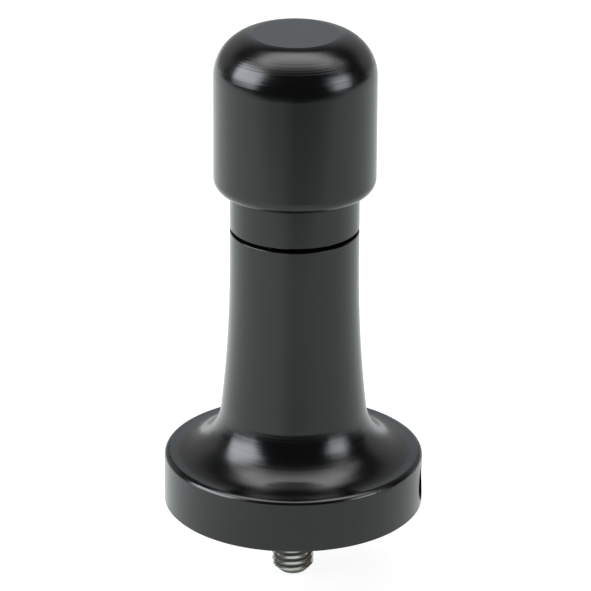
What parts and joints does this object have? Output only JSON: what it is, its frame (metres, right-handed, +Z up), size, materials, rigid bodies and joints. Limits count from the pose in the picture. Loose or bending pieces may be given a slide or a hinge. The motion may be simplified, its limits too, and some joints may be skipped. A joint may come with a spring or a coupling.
{
  "type": "espresso tamper handle",
  "caption": "Round black handle of an espresso tamper with a flared foot, a threaded stud for the base and a domed palm knob that gives way with a click when pressed.",
  "frame": {"origin": "centre of the flange's underside, on the handle's axis, where the base seats", "axes": "+Z up along the handle towards the palm knob, +X along the side hole of the lock screw; metres"},
  "size_m": [0.049, 0.049, 0.1086],
  "materials": {
    "black_body": "satin black anodised, fine turning marks",
    "black_knob": "satin black anodised, fine turning marks",
    "black_sleeve": "satin black anodised, fine turning marks",
    "stud_steel": "plain rolled thread",
    "screw_steel": "blackened",
    "ground_steel": "ground",
    "ball_steel": "polished",
    "spring_steel": "drawn wire",
    "bronze": "turned bronze",
    "seal_rubber": "matte",
    "pad_brass": "turned"
  },
  "bodies": {
    "body": {"flared_body": "black_body", "guide_bush": "bronze", "retaining_ring": "spring_steel", "stem_seal": "seal_rubber", "detent_spring_1": "spring_steel", "detent_spring_2": "spring_steel", "detent_spring_3": "spring_steel"},
    "thrust_washer": {"thrust_washer": "ground_steel"},
    "head": {"palm_knob": "black_knob", "neck_sleeve": "black_sleeve", "plunger": "ground_steel"},
    "spring_seat": {"spring_seat": "ground_steel", "thrust_ball": "ball_steel", "main_spring": "spring_steel"},
    "stud": {"base_stud": "stud_steel"},
    "lock_pad": {"lock_pad": "pad_brass"},
    "lock_screw": {"lock_screw": "screw_steel"},
    "click_ball_1": {"click_ball_1": "ball_steel"},
    "click_ball_2": {"click_ball_2": "ball_steel"},
    "click_ball_3": {"click_ball_3": "ball_steel"}
  },
  "joints": [
    {"name": "handle_press", "type": "slide", "parent": "body", "child": "thrust_washer", "axis": [0, 0, -1], "range_m": [0, 0.0007], "stiffness_N_per_m": 25000, "springref_m": -0.0024, "deforming": ["main_spring"]},
    {"name": "head_spin", "type": "hinge", "parent": "thrust_washer", "child": "head", "pos_m": [0, 0, 0.05], "axis": [0, 0, 1], "continuous": true},
    {"name": "preload_lift", "type": "slide", "parent": "body", "child": "spring_seat", "axis": [0, 0, 1], "range_m": [-0.002, 0.003], "deforming": ["main_spring"]},
    {"name": "stud_turn", "type": "hinge", "parent": "spring_seat", "child": "stud", "pos_m": [0, 0, 0], "axis": [0, 0, 1], "range_deg": [-580, 870]},
    {"name": "lock_travel", "type": "slide", "parent": "body", "child": "lock_pad", "axis": [1, 0, 0], "range_m": [0, 0.0015]},
    {"name": "lock_turn", "type": "hinge", "parent": "lock_pad", "child": "lock_screw", "pos_m": [0.01, 0, 0.0045], "axis": [1, 0, 0], "range_deg": [0, 435]},
    {"name": "click_ball_1_lift", "type": "slide", "parent": "body", "child": "click_ball_1", "axis": [0, 1, 0], "range_m": [0, 0.00045], "deforming": ["detent_spring_1"]},
    {"name": "click_ball_2_lift", "type": "slide", "parent": "body", "child": "click_ball_2", "axis": [-0.866, -0.5, 0], "range_m": [0, 0.00045], "deforming": ["detent_spring_2"]},
    {"name": "click_ball_3_lift", "type": "slide", "parent": "body", "child": "click_ball_3", "axis": [0.866, -0.5, 0], "range_m": [0, 0.00045], "deforming": ["detent_spring_3"]}
  ],
  "couplings": [
    {"joint": "stud_turn", "follows": "preload_lift", "rad_per_m": 5026.5},
    {"joint": "lock_turn", "follows": "lock_travel", "rad_per_m": 5026.5},
    {"joint": "click_ball_1_lift", "follows": "handle_press", "ratio": 0.57735},
    {"joint": "click_ball_2_lift", "follows": "handle_press", "ratio": 0.57735},
    {"joint": "click_ball_3_lift", "follows": "handle_press", "ratio": 0.57735}
  ]
}
